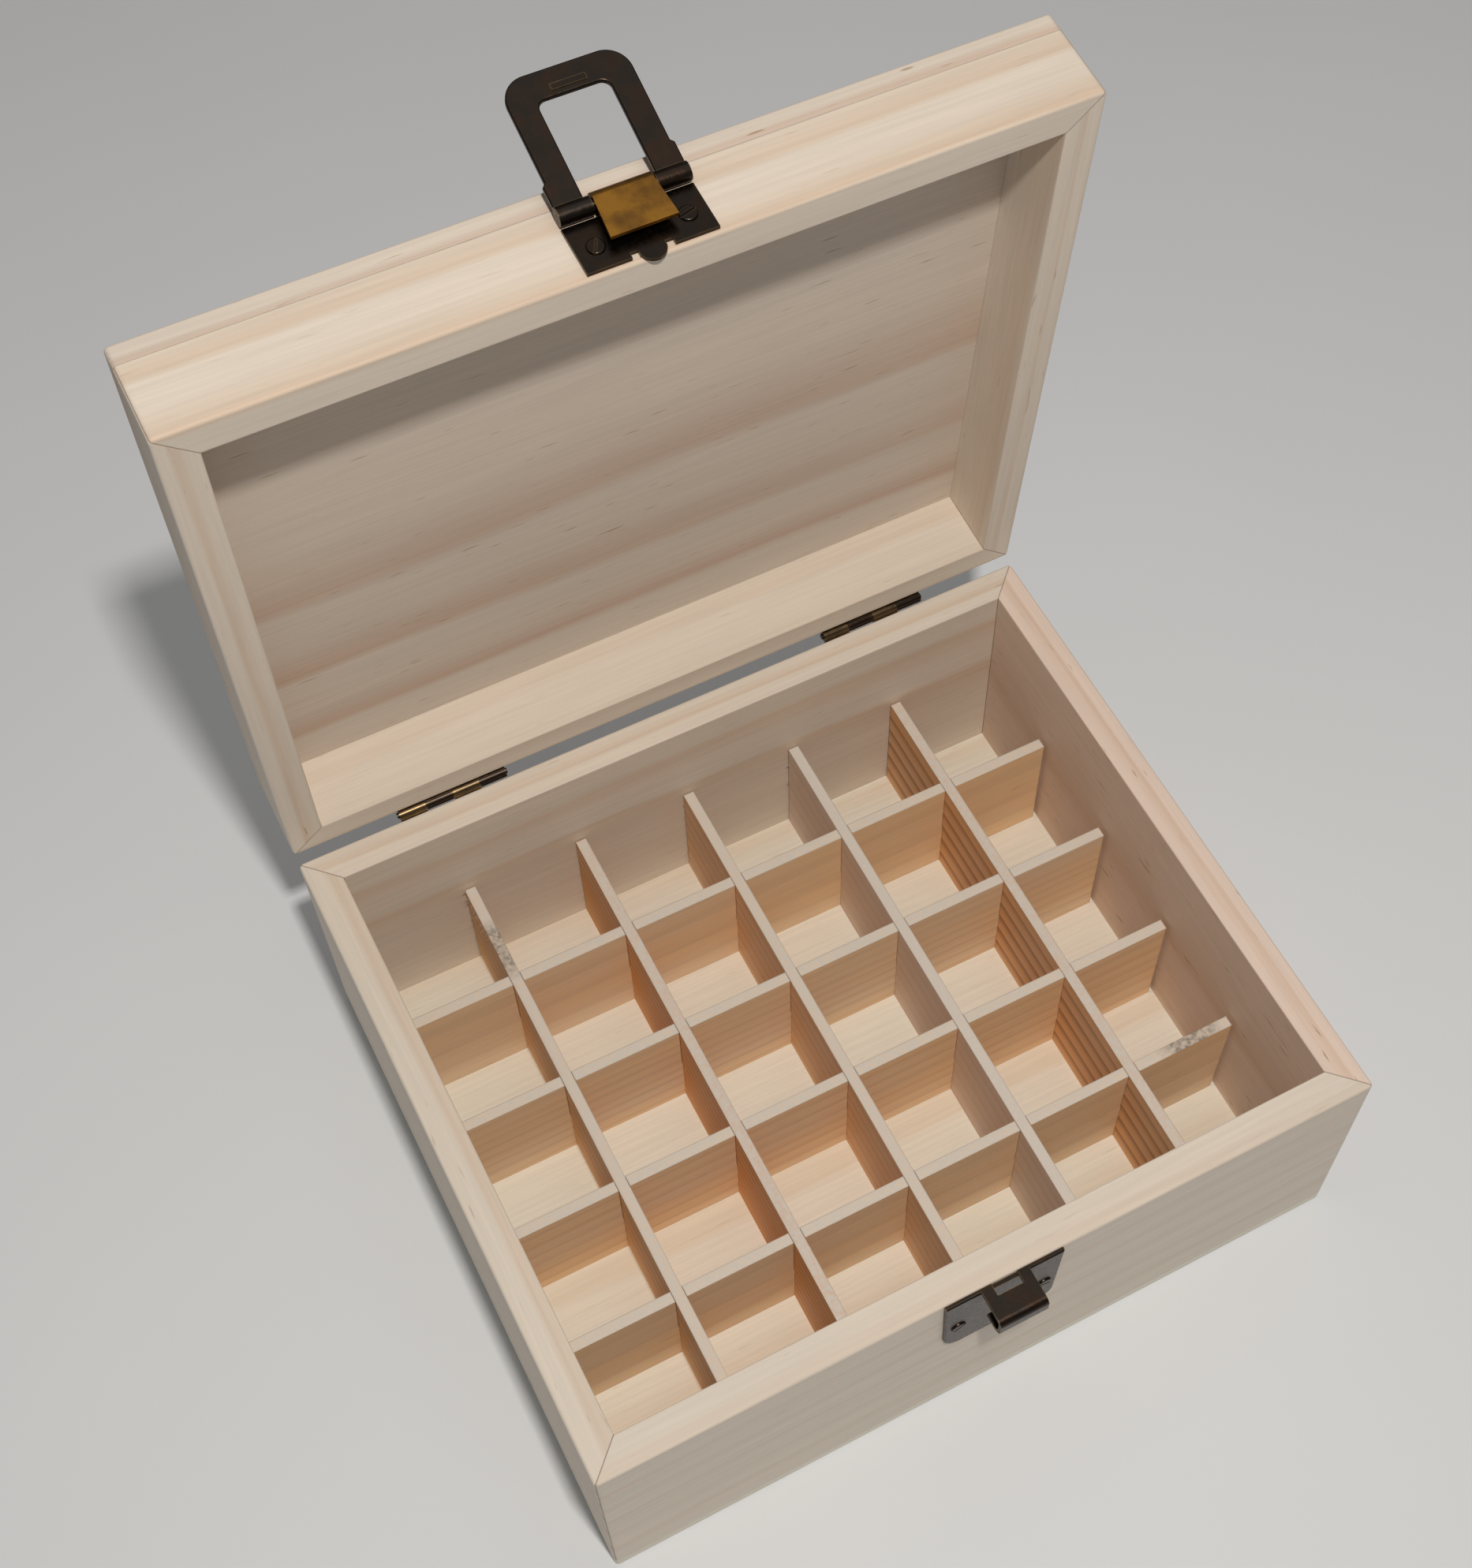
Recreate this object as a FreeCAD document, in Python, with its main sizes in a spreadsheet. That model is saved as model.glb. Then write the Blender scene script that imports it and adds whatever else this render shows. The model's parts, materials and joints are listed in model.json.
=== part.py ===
"""Hinged pine box with a drop-in divider grid, butt hinges and a hasp.

Millimetres, +Z up, +Y to the back. The origin is the middle of the flat underside.
The lid is modelled about the hinge axis and stands open, as the box is used.
"""
import FreeCAD, Part
import math
import os
import re
import Sketcher
from FreeCAD import Vector

# Driving dimensions

SIZES = {
    # box body
    "box_width": 205.0,
    "box_depth": 175.0,
    "wall_thickness": 8.6,
    "wall_height": 67.0,
    "bottom_thickness": 4.0,
    "corner_round": 1.2,
    "edge_round": 0.7,
    # lid
    "rail_height": 18.7,
    "lid_panel_thickness": 5.1,
    "lid_gap": 0.3,
    "lid_open_angle": 85.0,
    # divider grid
    "grid_pitch": 31.8,
    "divider_thickness": 2.9,
    "divider_height": 37.4,
    "slot_play": 0.2,
    "grid_left_gap": 0.4,
    "grid_right_gap": 1.2,
    "grid_front_gap": 2.4,
    "grid_back_gap": 0.4,
    # hinges
    "hinge_setback": 1.7,
    "hinge_offset": 60.4,
    "knuckle_length": 7.3,
    "knuckle_gap": 0.2,
    "knuckle_radius": 1.5,
    "pin_radius": 0.75,
    "pin_play": 0.05,
    "pin_end": 0.4,
    "leaf_thickness": 0.8,
    "leaf_width": 9.5,
    "leaf_clearance": 1.9,
    "leaf_screw_spacing": 17.0,
    "leaf_screw_drop": 6.2,
    # screws
    "screw_radius": 0.8,
    "screw_length": 6.0,
    "screw_point": 1.6,
    "screw_head_radius": 2.0,
    "screw_head_height": 0.45,
    "screw_head_round": 0.35,
    "screw_slot_width": 0.5,
    "screw_slot_depth": 0.25,
    # catch on the box front
    "catch_width": 31.4,
    "catch_height": 27.5,
    "catch_thickness": 1.1,
    "catch_drop": 0.3,
    "catch_corner": 5.0,
    "catch_taper": 1.0,
    "catch_edge": 0.5,
    "catch_screw_spacing": 23.0,
    "catch_screw_drop": 16.2,
    "bill_width": 12.7,
    "bill_reach": 10.0,
    "bill_height": 7.3,
    "bill_return": 4.2,
    "bill_nose_round": 3.0,
    "bill_top_round": 1.8,
    "bill_slot_width": 6.8,
    "bill_slot_depth": 2.1,
    # hasp plate on the lid front
    "hasp_width": 28.5,
    "hasp_height": 12.0,
    "hasp_lift": 0.9,
    "hasp_sheet": 0.9,
    "hasp_screw_spacing": 19.8,
    "hasp_screw_lift": 5.4,
    "pivot_lift": 14.8,
    "pivot_radius": 1.4,
    "roll_width": 13.0,
    "flap_width": 14.6,
    "flap_length": 10.0,
    "flap_lean": 4.0,
    "tab_width": 5.8,
    "tab_drop": 2.2,
    "tab_sheet": 0.6,
    "notch_width": 1.7,
    "notch_depth": 1.3,
    # swinging loop
    "loop_width": 27.0,
    "loop_flare": 0.7,
    "loop_flare_height": 6.5,
    "loop_knuckle": 2.0,
    "loop_side_gap": 0.4,
    "loop_reach": 29.8,
    "loop_thickness": 1.4,
    "loop_corner": 5.5,
    "loop_edge": 0.4,
    "window_width": 15.4,
    "window_reach": 23.6,
    "window_corner": 2.0,
    "rib_length": 7.6,
    "rib_width": 1.4,
    "rib_height": 0.25,
    "rib_inset": 4.3,
    "loop_tilt": 14.0,
}

LONG_DIVIDERS = 4
SHORT_DIVIDERS = 5
KNUCKLES = 4

# Places that several pieces share, as formulas on the sheet

RIM = "(bottom_thickness + wall_height)"
HINGE_Y = "(box_depth / 2 + hinge_setback)"
HINGE_Z = "(bottom_thickness + wall_height + lid_gap / 2)"
LID_RIM = "(lid_gap / 2)"
LID_FRONT = "(-box_depth - hinge_setback)"
LID_BACK = "(-hinge_setback)"
LID_MIDDLE = "(-box_depth / 2 - hinge_setback)"
HINGE_LENGTH = "(4 * knuckle_length)"
ROLL_BORE = "(pivot_radius + pin_play)"
ROLL_RADIUS = "(pivot_radius + pin_play + hasp_sheet)"
LOOP_HEEL = "(loop_width / 2 + loop_flare)"

doc = FreeCAD.newDocument("hinged_box")
sheet = doc.addObject("Spreadsheet::Sheet", "Sizes")
for row, (alias, number) in enumerate(SIZES.items(), start=1):
    sheet.set(f"A{row}", alias)
    sheet.set(f"B{row}", str(number))
    sheet.setAlias(f"B{row}", alias)
doc.recompute()

subparts = []


# Shared helpers

def on_sheet(formula):
    """Write a formula's size names as references to the sheet's cells."""
    return re.sub(r"[a-z_]+", lambda word: "Sizes." + word[0] if word[0] in SIZES else word[0], formula)


def bind(thing, **formulas):
    """Bind properties of an object to formulas on the sheet."""
    for name, formula in formulas.items():
        thing.setExpression(name, on_sheet(formula))


def pose(x="0", y="0", z="0", axis="0; 0; 1", turn="0"):
    """A placement as a formula: a turn about an axis, then a shift."""
    return f"placement(vector({x}; {y}; {z}); rotation(vector({axis}); {turn}))"


LID_POSE = pose(y=HINGE_Y, z=HINGE_Z, axis="1; 0; 0", turn="-lid_open_angle")


def finish(thing, label, placement):
    """Name a finished sub-part, place it and list it for writing."""
    thing.Label = label
    bind(thing, Placement=placement)
    subparts.append(thing)
    return thing


def sketch_on(body, role, name, lift=None):
    """A sketch on one of the body's own origin planes, lifted off it if asked."""
    sketch = body.newObject("Sketcher::SketchObject", name)
    plane = next(feature for feature in body.Origin.OriginFeatures if feature.Role == role)
    sketch.AttachmentSupport = [(plane, "")]
    sketch.MapMode = "FlatFace"
    if lift:
        sketch.setExpression("AttachmentOffset.Base.z", on_sheet(lift))
    return sketch


def hold(sketch, kind, target, formula, start):
    """One driven dimension of a sketch."""
    index = sketch.addConstraint(Sketcher.Constraint(kind, *target, start))
    sketch.setExpression(f"Constraints[{index}]", on_sheet(formula))


def outline(sketch, corners):
    """A closed outline of straight lines, each corner held at its own formulas."""
    first = sketch.GeometryCount
    count = len(corners)
    rough = [Vector(math.cos(math.tau * i / count), math.sin(math.tau * i / count), 0) for i in range(count)]
    for i in range(count):
        sketch.addGeometry(Part.LineSegment(rough[i], rough[(i + 1) % count]))
    for i in range(count):
        following = first + (i + 1) % count
        sketch.addConstraint(Sketcher.Constraint("Coincident", first + i, 2, following, 1))
    for i, (across, up) in enumerate(corners):
        hold(sketch, "DistanceX", (-1, 1, first + i, 1), across, rough[i].x)
        hold(sketch, "DistanceY", (-1, 1, first + i, 1), up, rough[i].y)


def rectangle(sketch, left, right, low, high):
    """A closed rectangle between four formulas."""
    outline(sketch, [(left, low), (right, low), (right, high), (left, high)])


def circles(sketch, centres, radius):
    """Circles of one radius at the given centres."""
    for across, up in centres:
        index = sketch.addGeometry(Part.Circle(Vector(0, 0, 0), Vector(0, 0, 1), 1))
        hold(sketch, "DistanceX", (-1, 1, index, 3), across, 0)
        hold(sketch, "DistanceY", (-1, 1, index, 3), up, 0)
        hold(sketch, "Radius", (index,), radius, 1)


def pad(body, sketch, length, name, symmetric=False):
    """Pad a sketch along its normal."""
    feature = body.newObject("PartDesign::Pad", name)
    feature.Profile = sketch
    if symmetric:
        feature.SideType = "Symmetric"
    bind(feature, Length=length)
    return feature


def pocket(body, sketch, depth, name, reverse=False):
    """Cut a sketch into the body and check that the cut took something away."""
    doc.recompute()
    before = body.Shape.Volume
    feature = body.newObject("PartDesign::Pocket", name)
    feature.Profile = sketch
    feature.Reversed = reverse
    bind(feature, Length=depth)
    doc.recompute()
    if body.Shape.Volume >= before:
        raise RuntimeError(f"{body.Name}: {name} cut nothing")
    return feature


def ease(body, radius, name, chosen):
    """Round the edges of a body that pass a test."""
    doc.recompute()
    base = body.Tip
    edges = [f"Edge{i}" for i, edge in enumerate(base.Shape.Edges, start=1) if chosen(edge)]
    if not edges:
        raise RuntimeError(f"{body.Name}: {name} found no edges")
    feature = body.newObject("PartDesign::Fillet", name)
    feature.Base = (base, edges)
    bind(feature, Radius=radius)
    return feature


def lies(edge, **place):
    """True where a whole edge lies at the given coordinates."""
    return all(abs(getattr(vertex, axis) - value) < 1e-4
               for vertex in edge.Vertexes for axis, value in place.items())


def upright(edge):
    """True for an edge that runs along Z."""
    ends = edge.Vertexes
    return len(ends) == 2 and math.hypot(ends[0].X - ends[1].X, ends[0].Y - ends[1].Y) < 1e-6


def block(label, x, y, z, length, width, height):
    """A box between formulas."""
    solid = doc.addObject("Part::Box", label)
    bind(solid, Length=length, Width=width, Height=height, Placement=pose(x, y, z))
    return solid


def rod(label, radius, length, x, y="0", z="0", axis="0; 1; 0", turn="90"):
    """A round bar, along +X unless turned otherwise."""
    solid = doc.addObject("Part::Cylinder", label)
    bind(solid, Radius=radius, Height=length, Placement=pose(x, y, z, axis, turn))
    return solid


def fused(label, shapes):
    """The union of several solids."""
    solid = doc.addObject("Part::MultiFuse", label)
    solid.Shapes = shapes
    return solid


def cut(label, base, tools):
    """A solid less one or more others."""
    solid = doc.addObject("Part::Cut", label)
    solid.Base = base
    solid.Tool = tools[0] if len(tools) == 1 else fused(label + "_tools", tools)
    return solid


# Wooden boards

def mitred_board(name, length, height, rim_level, holes=()):
    """A board with its outer face on y = 0, eased along its rim and corners and mitred at both ends."""
    body = doc.addObject("PartDesign::Body", name)
    plan = sketch_on(body, "XY_Plane", name + "_plan")
    rectangle(plan, f"-{length} / 2", f"{length} / 2", "0", "wall_thickness")
    pad(body, plan, height, name + "_board")
    inner = SIZES["wall_thickness"]
    ease(body, "corner_round", name + "_corners", lambda edge: upright(edge) and lies(edge, Y=0.0))
    ease(body, "edge_round", name + "_arris",
         lambda edge: lies(edge, Z=rim_level) and not lies(edge, Y=inner))
    mitres = sketch_on(body, "XY_Plane", name + "_mitres")
    for end in (-1, 1):
        outline(mitres, [
            (f"{end} * ({length} / 2 + 1)", "-1"),
            (f"{end} * ({length} / 2 + 1)", "wall_thickness + 1"),
            (f"{end} * ({length} / 2 - wall_thickness - 1)", "wall_thickness + 1"),
        ])
    pocket(body, mitres, height, name + "_mitre_cuts", reverse=True)
    ease(body, "edge_round / 2", name + "_inner_arris", lambda edge: lies(edge, Z=rim_level, Y=inner))
    if holes:
        drilled = sketch_on(body, "XZ_Plane", name + "_pilots")
        circles(drilled, holes, "screw_radius")
        pocket(body, drilled, "screw_length", name + "_pilot_holes")
    return body


def flat_panel(name, thickness, outer_level):
    """A full-size panel with rounded corners and an eased arris round its outer face."""
    body = doc.addObject("PartDesign::Body", name)
    plan = sketch_on(body, "XY_Plane", name + "_plan")
    rectangle(plan, "-box_width / 2", "box_width / 2", "-box_depth / 2", "box_depth / 2")
    pad(body, plan, thickness, name + "_board")
    ease(body, "corner_round", name + "_corners", upright)
    ease(body, "edge_round", name + "_arris", lambda edge: lies(edge, Z=outer_level))
    return body


def divider(name, length, slots, from_above):
    """A thin strip standing on edge along X, slotted to half its height for the crossing strips."""
    body = doc.addObject("PartDesign::Body", name)
    strip = sketch_on(body, "XY_Plane", name + "_plan")
    rectangle(strip, f"-{length} / 2", f"{length} / 2", "-divider_thickness / 2", "divider_thickness / 2")
    pad(body, strip, "divider_height", name + "_strip")
    half = "divider_height / 2"
    slot = sketch_on(body, "XY_Plane", name + "_slot", half if from_above else None)
    edge = f"-{slots - 1} * grid_pitch / 2"
    opening = "(divider_thickness + slot_play) / 2"
    rectangle(slot, f"{edge} - {opening}", f"{edge} + {opening}", "-divider_thickness", "divider_thickness")
    first = pocket(body, slot, f"{half} + 1" if from_above else half, name + "_slot_cut", reverse=True)
    row = body.newObject("PartDesign::LinearPattern", name + "_slots")
    row.Originals = [first]
    row.Direction = (slot, ["H_Axis"])
    row.Occurrences = slots
    bind(row, Length=f"{slots - 1} * grid_pitch")
    body.Tip = row
    return body


def pilots(columns, height):
    """Pilot places at the given columns, all at one height of a board."""
    return [(column, height) for column in columns]


LEAF_COLUMNS = [f"{side} * hinge_offset + {end} * leaf_screw_spacing / 2" for side in (-1, 1) for end in (-1, 1)]
CATCH_COLUMNS = [f"{side} * catch_screw_spacing / 2" for side in (-1, 1)]
HASP_COLUMNS = [f"{side} * hasp_screw_spacing / 2" for side in (-1, 1)]

box_rim = SIZES["wall_height"]
front = mitred_board("front_wall", "box_width", "wall_height", box_rim,
                     pilots(CATCH_COLUMNS, "wall_height - catch_screw_drop"))
finish(front, "front_wall", pose(y="-box_depth / 2", z="bottom_thickness"))
back = mitred_board("back_wall", "box_width", "wall_height", box_rim,
                    pilots(LEAF_COLUMNS, "wall_height - leaf_screw_drop"))
finish(back, "back_wall", pose(y="box_depth / 2", z="bottom_thickness", turn="180"))
for side, turn, label in ((-1, "-90", "left_wall"), (1, "90", "right_wall")):
    board = mitred_board(label, "box_depth", "wall_height", box_rim)
    finish(board, label, pose(x=f"{side} * box_width / 2", z="bottom_thickness", turn=turn))
finish(flat_panel("bottom_panel", "bottom_thickness", 0.0), "bottom_panel", pose())

lid_rim = 0.0
front = mitred_board("lid_front_rail", "box_width", "rail_height", lid_rim,
                     pilots(HASP_COLUMNS, "hasp_lift + hasp_screw_lift"))
finish(front, "lid_front_rail", LID_POSE + " * " + pose(y=LID_FRONT, z=LID_RIM))
back = mitred_board("lid_back_rail", "box_width", "rail_height", lid_rim,
                    pilots(LEAF_COLUMNS, "leaf_screw_drop"))
finish(back, "lid_back_rail", LID_POSE + " * " + pose(y=LID_BACK, z=LID_RIM, turn="180"))
for side, turn, label in ((-1, "-90", "lid_left_rail"), (1, "90", "lid_right_rail")):
    rail = mitred_board(label, "box_depth", "rail_height", lid_rim)
    finish(rail, label, LID_POSE + " * " + pose(f"{side} * box_width / 2", LID_MIDDLE, LID_RIM, turn=turn))
lid_panel = flat_panel("lid_top_panel", "lid_panel_thickness", SIZES["lid_panel_thickness"])
finish(lid_panel, "lid_top_panel", LID_POSE + " * " + pose(y=LID_MIDDLE, z=f"{LID_RIM} + rail_height"))

# Divider grid, pushed to the back left of the box

GRID_X = "(grid_left_gap - grid_right_gap) / 2"
GRID_Y = "(grid_front_gap - grid_back_gap) / 2"
LONG_LENGTH = "(box_width - 2 * wall_thickness - grid_left_gap - grid_right_gap)"
SHORT_LENGTH = "(box_depth - 2 * wall_thickness - grid_front_gap - grid_back_gap)"

for i in range(LONG_DIVIDERS):
    label = f"long_divider_{i + 1}"
    along = f"{GRID_Y} + {(LONG_DIVIDERS - 1) / 2 - i} * grid_pitch"
    strip = divider(label, LONG_LENGTH, SHORT_DIVIDERS, from_above=True)
    finish(strip, label, pose(GRID_X, along, "bottom_thickness"))
for i in range(SHORT_DIVIDERS):
    label = f"short_divider_{i + 1}"
    across = f"{GRID_X} + {i - (SHORT_DIVIDERS - 1) / 2} * grid_pitch"
    strip = divider(label, SHORT_LENGTH, LONG_DIVIDERS, from_above=False)
    finish(strip, label, pose(across, GRID_Y, "bottom_thickness", turn="90"))


# Hinges, modelled about their pin

def hinge_leaf(label, up, first_knuckle, bore):
    """One leaf: a plate on the back face, every second knuckle, and the pin's bore."""
    start = f"(-{HINGE_LENGTH} / 2)"
    low = "leaf_clearance" if up > 0 else "-leaf_width"
    solids = [block(label + "_plate", start, "-hinge_setback", low,
                    HINGE_LENGTH, "leaf_thickness", "leaf_width - leaf_clearance")]
    for k in range(first_knuckle, KNUCKLES, 2):
        at = f"{start} + {k} * knuckle_length + knuckle_gap / 2"
        width = "knuckle_length - knuckle_gap"
        solids.append(rod(f"{label}_knuckle_{k}", "knuckle_radius", width, at))
        solids.append(block(f"{label}_root_{k}", at, "-hinge_setback", "0" if up > 0 else "-leaf_clearance",
                            width, "leaf_thickness", "leaf_clearance"))
    tools = [rod(label + "_bore", bore, f"{HINGE_LENGTH} + 2", f"{start} - 1")]
    for end in (-1, 1):
        tools.append(rod(f"{label}_hole_{end}", "screw_radius", "leaf_thickness + 2",
                         f"{end} * leaf_screw_spacing / 2", "-hinge_setback - 1",
                         f"{up} * (leaf_screw_drop + lid_gap / 2)", "1; 0; 0", "-90"))
    return cut(label, fused(label + "_union", solids), tools)


for side, word in ((-1, "left"), (1, "right")):
    here = pose(x=f"{side} * hinge_offset", y=HINGE_Y, z=HINGE_Z)
    box_leaf = hinge_leaf(f"{word}_hinge_box_leaf", -1, 0, "pin_radius")
    finish(box_leaf, f"{word}_hinge_box_leaf", here)
    lid_leaf = hinge_leaf(f"{word}_hinge_lid_leaf", 1, 1, "pin_radius + pin_play")
    finish(lid_leaf, f"{word}_hinge_lid_leaf", LID_POSE + " * " + pose(x=f"{side} * hinge_offset"))
    pin = doc.addObject("Part::Cylinder", f"{word}_hinge_pin")
    bind(pin, Radius="pin_radius", Height=f"{HINGE_LENGTH} + 2 * pin_end")
    finish(pin, f"{word}_hinge_pin",
           here + " * " + pose(x=f"-{HINGE_LENGTH} / 2 - pin_end", axis="0; 1; 0", turn="90"))


# Screws: one pattern screw, copied to its places in each group

def pattern_screw():
    """A small slotted round-head screw along +Z, its head seated on z = 0."""
    body = doc.addObject("PartDesign::Body", "screw")
    profile = sketch_on(body, "XZ_Plane", "screw_profile")
    outline(profile, [
        ("0", "-screw_length"),
        ("screw_radius", "-screw_length + screw_point"),
        ("screw_radius", "0"),
        ("screw_head_radius", "0"),
        ("screw_head_radius", "screw_head_height"),
        ("0", "screw_head_height"),
    ])
    turned = body.newObject("PartDesign::Revolution", "screw_turned")
    turned.Profile = profile
    turned.ReferenceAxis = (profile, ["V_Axis"])
    turned.Angle = 360
    head = SIZES["screw_head_height"]
    reach = SIZES["screw_head_radius"]
    ease(body, "screw_head_round", "screw_dome",
         lambda edge: lies(edge, Z=head) and abs(edge.BoundBox.XMax - reach) < 1e-4)
    slot = sketch_on(body, "XY_Plane", "screw_slot", "screw_head_height - screw_slot_depth")
    rectangle(slot, "-screw_head_radius", "screw_head_radius", "-screw_slot_width / 2", "screw_slot_width / 2")
    pocket(body, slot, "screw_slot_depth + 1", "screw_slot_cut", reverse=True)
    return body


def screw_group(label, places, facing, slot_turns, placement):
    """Copies of the pattern screw as one group of separate solids."""
    seats = []
    for place, slot_turn in zip(places, slot_turns):
        screw = pattern.Shape.copy()
        aim = FreeCAD.Rotation(Vector(0, 0, 1), facing)
        spin = FreeCAD.Rotation(Vector(0, 0, 1), slot_turn)
        screw.Placement = FreeCAD.Placement(place, aim.multiply(spin))
        seats.append(screw)
    group = doc.addObject("Part::Feature", label)
    group.Shape = Part.makeCompound(seats)
    return finish(group, label, placement)


pattern = pattern_screw()
doc.recompute()
OUT_FRONT = Vector(0, -1, 0)
OUT_BACK = Vector(0, 1, 0)
leaf_face = -SIZES["hinge_setback"] + SIZES["leaf_thickness"]
leaf_drop = SIZES["leaf_screw_drop"] + SIZES["lid_gap"] / 2
leaf_columns = [side * SIZES["hinge_offset"] + end * SIZES["leaf_screw_spacing"] / 2
                for side in (-1, 1) for end in (-1, 1)]
screw_group("hinge_box_screws", [Vector(x, leaf_face, -leaf_drop) for x in leaf_columns], OUT_BACK,
            (20, 75, -40, 10), pose(y=HINGE_Y, z=HINGE_Z))
screw_group("hinge_lid_screws", [Vector(x, leaf_face, leaf_drop) for x in leaf_columns], OUT_BACK,
            (-15, 50, 85, 30), LID_POSE)
catch_columns = [side * SIZES["catch_screw_spacing"] / 2 for side in (-1, 1)]
screw_group("catch_screws", [Vector(x, -SIZES["catch_thickness"], -SIZES["catch_screw_drop"])
                             for x in catch_columns],
            OUT_FRONT, (35, -20), pose(y="-box_depth / 2", z=RIM))
hasp_columns = [side * SIZES["hasp_screw_spacing"] / 2 for side in (-1, 1)]
hasp_screw_height = SIZES["hasp_lift"] + SIZES["hasp_screw_lift"]
screw_group("latch_screws", [Vector(x, -SIZES["hasp_sheet"], hasp_screw_height) for x in hasp_columns],
            OUT_FRONT, (60, 15), LID_POSE + " * " + pose(y=LID_FRONT, z=LID_RIM))


# Catch on the box front, its origin on the front face at rim height

def catch_plate():
    """A plate with two screwed ears, whose middle is bent out and down into a blunt bill."""
    body = doc.addObject("PartDesign::Body", "catch_plate")
    ears = sketch_on(body, "XZ_Plane", "catch_ears")
    foot = "-catch_drop - catch_height"
    outline(ears, [
        ("-catch_width / 2 + catch_taper", foot),
        ("catch_width / 2 - catch_taper", foot),
        ("catch_width / 2", "-catch_drop"),
        ("-catch_width / 2", "-catch_drop"),
    ])
    pad(body, ears, "catch_thickness", "catch_plate_pad")
    level = -SIZES["catch_drop"] - SIZES["catch_height"]
    ease(body, "catch_corner", "catch_corners",
         lambda edge: abs(edge.CenterOfMass.z - level) < 1e-4 and edge.BoundBox.XLength < 1e-6)
    face = -SIZES["catch_thickness"]
    ease(body, "catch_edge", "catch_edges", lambda edge: lies(edge, Y=face))

    bill = sketch_on(body, "YZ_Plane", "catch_bill")
    top = "-catch_drop"
    bottom = "-catch_drop - bill_height"
    inside = "-bill_reach + catch_thickness"
    outline(bill, [
        ("-catch_thickness / 2", top),
        ("-bill_reach", top),
        ("-bill_reach", bottom),
        ("-bill_return", bottom),
        ("-bill_return", f"{bottom} + catch_thickness"),
        (inside, f"{bottom} + catch_thickness"),
        (inside, f"{top} - catch_thickness"),
        ("-catch_thickness / 2", f"{top} - catch_thickness"),
    ])
    pad(body, bill, "bill_width", "catch_bill_pad", symmetric=True)
    high = -SIZES["catch_drop"]
    low = high - SIZES["bill_height"]
    sheet_gauge = SIZES["catch_thickness"]
    outer = -SIZES["bill_reach"]
    ease(body, "bill_top_round", "bill_top_bend", lambda edge: lies(edge, Y=outer, Z=high))
    ease(body, "bill_nose_round", "bill_nose_bend", lambda edge: lies(edge, Y=outer, Z=low))
    ease(body, "bill_top_round - catch_thickness", "bill_top_hollow",
         lambda edge: lies(edge, Y=outer + sheet_gauge, Z=high - sheet_gauge))
    ease(body, "bill_nose_round - catch_thickness", "bill_nose_hollow",
         lambda edge: lies(edge, Y=outer + sheet_gauge, Z=low + sheet_gauge))

    slot = sketch_on(body, "XY_Plane", "catch_slot", "-catch_drop")
    rectangle(slot, "-bill_slot_width / 2", "bill_slot_width / 2",
              "-catch_thickness - bill_slot_depth", "1")
    pocket(body, slot, "catch_thickness", "catch_slot_cut")
    holes = sketch_on(body, "XZ_Plane", "catch_holes")
    circles(holes, pilots(CATCH_COLUMNS, "-catch_screw_drop"), "screw_radius")
    pocket(body, holes, "catch_thickness + 1", "catch_hole_cut", reverse=True)
    return body


finish(catch_plate(), "catch_plate", pose(y="-box_depth / 2", z=RIM))


# Hasp plate on the lid front, its origin on the front face at the lid's rim

def hasp_plate():
    """A plate whose middle tab is rolled over the loop's bar and laid back as a flap."""
    plate = block("hasp_base", "-hasp_width / 2", "-hasp_sheet", "hasp_lift",
                  "hasp_width", "hasp_sheet", "hasp_height")
    neck = block("hasp_neck", "-roll_width / 2", "-hasp_sheet", "hasp_lift",
                 "roll_width", "hasp_sheet", "pivot_lift - hasp_lift")
    roll = doc.addObject("Part::Cylinder", "hasp_roll")
    roll.Angle = 180
    bind(roll, Radius=ROLL_RADIUS, Height="roll_width",
         Placement=pose("-roll_width / 2", f"-{ROLL_RADIUS}", "pivot_lift", "0; 1; 0", "90")
         + " * " + pose(turn="90"))
    flap = doc.addObject("Part::Wedge", "hasp_flap")
    bind(flap, Xmin="-roll_width / 2", Xmax="roll_width / 2", X2min="-flap_width / 2", X2max="flap_width / 2",
         Ymin="0", Ymax="flap_length", Zmin="0", Zmax="hasp_sheet", Z2min="0", Z2max="hasp_sheet",
         Placement=pose("0", f"-2 * {ROLL_RADIUS}", "pivot_lift", "1; 0; 0", "flap_lean - 90"))
    tab_disc = rod("hasp_tab_disc", "tab_width / 2", "tab_sheet", "0", "-hasp_sheet",
                   "hasp_lift - tab_drop + tab_width / 2", "1; 0; 0", "-90")
    solids = fused("hasp_union", [plate, neck, roll, flap, tab_disc])
    tools = [rod("hasp_bore", ROLL_BORE, "roll_width + 2", "-roll_width / 2 - 1", f"-{ROLL_RADIUS}",
                 "pivot_lift")]
    for side in (-1, 1):
        tools.append(rod(f"hasp_hole_{side}", "screw_radius", "hasp_sheet + 2",
                         f"{side} * hasp_screw_spacing / 2", "-hasp_sheet - 1",
                         "hasp_lift + hasp_screw_lift", "1; 0; 0", "-90"))
        tools.append(block(f"hasp_notch_{side}", f"{side} * (tab_width + notch_width) / 2 - notch_width / 2",
                           "-hasp_sheet - 1", "hasp_lift - 1", "notch_width", "hasp_sheet + 2",
                           "notch_depth + 1"))
    return cut("latch_plate", solids, tools)


finish(hasp_plate(), "latch_plate", LID_POSE + " * " + pose(y=LID_FRONT, z=LID_RIM))


# Loop, modelled about its bar with its legs along +Z

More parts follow.
